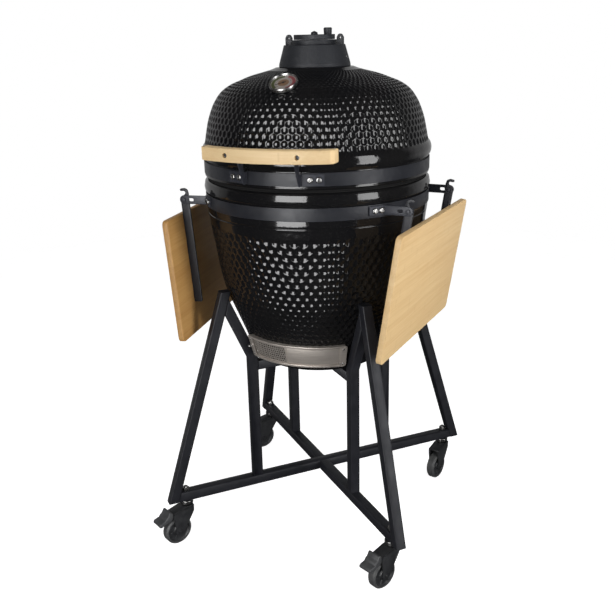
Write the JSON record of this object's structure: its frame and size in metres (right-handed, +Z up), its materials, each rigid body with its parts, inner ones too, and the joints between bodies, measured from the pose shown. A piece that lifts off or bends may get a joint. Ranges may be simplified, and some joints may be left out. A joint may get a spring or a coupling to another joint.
{
  "type": "kamado grill",
  "caption": "Black glazed ceramic egg-shaped charcoal grill on a cross-frame steel cart with casters, hinged lid, top vent, draft doors and folding bamboo side shelves.",
  "frame": {"origin": "on the floor, at the foot of the upright axis that the bowl and the lid are turned about", "axes": "+Z up, -Y towards the draft door and the lid handle, +X towards the right-hand shelf seen from the front"},
  "size_m": [0.6824, 0.699, 1.279],
  "materials": {
    "glaze": "black gloss glaze, dimpled on the bowl and dome, smooth at the rims and foot",
    "band_steel": "dark grey powder coat, satin",
    "cart_steel": "near-black powder coat, satin",
    "cast_iron": "dark grey, matt, fine sand-cast grain",
    "stainless": "warm grey, brushed along its length",
    "chrome": "bright",
    "spring_steel": "bare drawn wire",
    "bamboo": "laminated strips, satin lacquer",
    "felt": "black woven felt",
    "fireclay": "unglazed, matt",
    "caster_plastic": "black nylon",
    "caster_tread": "dark grey, satin",
    "dial": "chrome bezel round a pale printed dial",
    "needle": "black"
  },
  "bodies": {
    "cart": {"outer_leg_front_left": "cart_steel", "inner_leg_front_left": "cart_steel", "caster_stem_front_left": "chrome", "outer_leg_front_right": "cart_steel", "inner_leg_front_right": "cart_steel", "caster_stem_front_right": "chrome", "outer_leg_rear_right": "cart_steel", "inner_leg_rear_right": "cart_steel", "caster_stem_rear_right": "chrome", "outer_leg_rear_left": "cart_steel", "inner_leg_rear_left": "cart_steel", "caster_stem_rear_left": "chrome", "lower_bar_long": "cart_steel", "lower_bar_front": "cart_steel", "lower_bar_rear": "cart_steel", "cradle_cross": "cart_steel", "base_shell": "glaze", "base_gasket": "felt", "base_band": "band_steel", "hinge_base_bracket": "cart_steel", "hinge_spring_left": "spring_steel", "hinge_spring_right": "spring_steel", "draft_frame": "stainless", "firebox": "fireclay", "fire_ring": "fireclay", "charcoal_grate": "cast_iron", "cooking_grate": "stainless", "shelf_bracket_left_front": "cart_steel", "shelf_bracket_left_rear": "cart_steel", "shelf_bracket_right_front": "cart_steel", "shelf_bracket_right_rear": "cart_steel"},
    "lid": {"lid_shell": "glaze", "lid_gasket": "felt", "lid_band": "band_steel", "hinge_lid_bracket": "cart_steel", "handle": "bamboo", "handle_bracket_left": "cart_steel", "handle_bracket_right": "cart_steel", "vent_collar": "cast_iron", "thermometer": "dial"},
    "vent_cap": {"vent_cap": "cast_iron"},
    "needle": {"thermometer_needle": "needle"},
    "draft_solid_door": {"draft_solid_door": "stainless"},
    "draft_mesh_door": {"draft_mesh_door": "stainless"},
    "shelf_left": {"shelf_board_left": "bamboo", "shelf_support_left_front": "cart_steel", "shelf_support_left_rear": "cart_steel"},
    "shelf_right": {"shelf_board_right": "bamboo", "shelf_support_right_front": "cart_steel", "shelf_support_right_rear": "cart_steel"},
    "caster_front_left": {"caster_fork_front_left": "caster_plastic"},
    "wheel_front_left": {"caster_wheel_front_left": "caster_tread"},
    "caster_front_right": {"caster_fork_front_right": "caster_plastic"},
    "wheel_front_right": {"caster_wheel_front_right": "caster_tread"},
    "caster_rear_right": {"caster_fork_rear_right": "caster_plastic"},
    "wheel_rear_right": {"caster_wheel_rear_right": "caster_tread"},
    "caster_rear_left": {"caster_fork_rear_left": "caster_plastic"},
    "wheel_rear_left": {"caster_wheel_rear_left": "caster_tread"},
    "pedal_front_left": {"brake_pedal_front_left": "caster_plastic"},
    "pedal_front_right": {"brake_pedal_front_right": "caster_plastic"}
  },
  "joints": [
    {"name": "lid_hinge", "type": "hinge", "parent": "cart", "child": "lid", "pos_m": [0, 0.318, 0.94], "axis": [-1, 0, 0], "range_deg": [0, 70]},
    {"name": "vent_cap_turn", "type": "hinge", "parent": "lid", "child": "vent_cap", "pos_m": [0, 0, 1.258], "axis": [0, 0, 1], "range_deg": [0, 45]},
    {"name": "thermometer_needle_turn", "type": "hinge", "parent": "lid", "child": "needle", "pos_m": [0, -0.195, 1.159], "axis": [0, -0.5, 0.866], "range_deg": [-240, 0], "stiffness_Nm_per_rad": 0.002},
    {"name": "draft_solid_slide", "type": "hinge", "parent": "cart", "child": "draft_solid_door", "pos_m": [0, 0, 0.521], "axis": [0, 0, 1], "range_deg": [-29, 0]},
    {"name": "draft_mesh_slide", "type": "hinge", "parent": "cart", "child": "draft_mesh_door", "pos_m": [0, 0, 0.521], "axis": [0, 0, 1], "range_deg": [0, 33]},
    {"name": "shelf_left_fold", "type": "hinge", "parent": "cart", "child": "shelf_left", "pos_m": [-0.29597, -0.03111, 0.8886], "axis": [-0.1045, 0.9945, 0], "range_deg": [0, 94.1]},
    {"name": "shelf_right_fold", "type": "hinge", "parent": "cart", "child": "shelf_right", "pos_m": [0.29597, -0.03111, 0.8886], "axis": [-0.1045, -0.9945, 0], "range_deg": [0, 99]},
    {"name": "caster_swivel_front_left", "type": "hinge", "parent": "cart", "child": "caster_front_left", "pos_m": [-0.27789, -0.27789, 0.1], "axis": [0, 0, 1], "continuous": true},
    {"name": "caster_roll_front_left", "type": "hinge", "parent": "caster_front_left", "child": "wheel_front_left", "pos_m": [-0.29489, -0.30734, 0.038], "axis": [-0.866, 0.5, 0], "continuous": true},
    {"name": "brake_pedal_front_left", "type": "hinge", "parent": "caster_front_left", "child": "pedal_front_left", "pos_m": [-0.30189, -0.31946, 0.086], "axis": [-0.866, 0.5, 0], "range_deg": [0, 14]},
    {"name": "caster_swivel_front_right", "type": "hinge", "parent": "cart", "child": "caster_front_right", "pos_m": [0.27789, -0.27789, 0.1], "axis": [0, 0, 1], "continuous": true},
    {"name": "caster_roll_front_right", "type": "hinge", "parent": "caster_front_right", "child": "wheel_front_right", "pos_m": [0.26246, -0.30819, 0.038], "axis": [-0.891, 0.454, 0], "continuous": true},
    {"name": "brake_pedal_front_right", "type": "hinge", "parent": "caster_front_right", "child": "pedal_front_right", "pos_m": [0.2561, -0.32066, 0.086], "axis": [-0.891, 0.454, 0], "range_deg": [0, 14]},
    {"name": "caster_swivel_rear_right", "type": "hinge", "parent": "cart", "child": "caster_rear_right", "pos_m": [0.27789, 0.27789, 0.1], "axis": [0, 0, 1], "continuous": true},
    {"name": "caster_roll_rear_right", "type": "hinge", "parent": "caster_rear_right", "child": "wheel_rear_right", "pos_m": [0.26909, 0.24505, 0.038], "axis": [-0.9659, 0.2588, 0], "continuous": true},
    {"name": "caster_swivel_rear_left", "type": "hinge", "parent": "cart", "child": "caster_rear_left", "pos_m": [-0.27789, 0.27789, 0.1], "axis": [0, 0, 1], "continuous": true},
    {"name": "caster_roll_rear_left", "type": "hinge", "parent": "caster_rear_left", "child": "wheel_rear_left", "pos_m": [-0.30064, 0.25263, 0.038], "axis": [-0.7431, 0.6691, 0], "continuous": true}
  ]
}
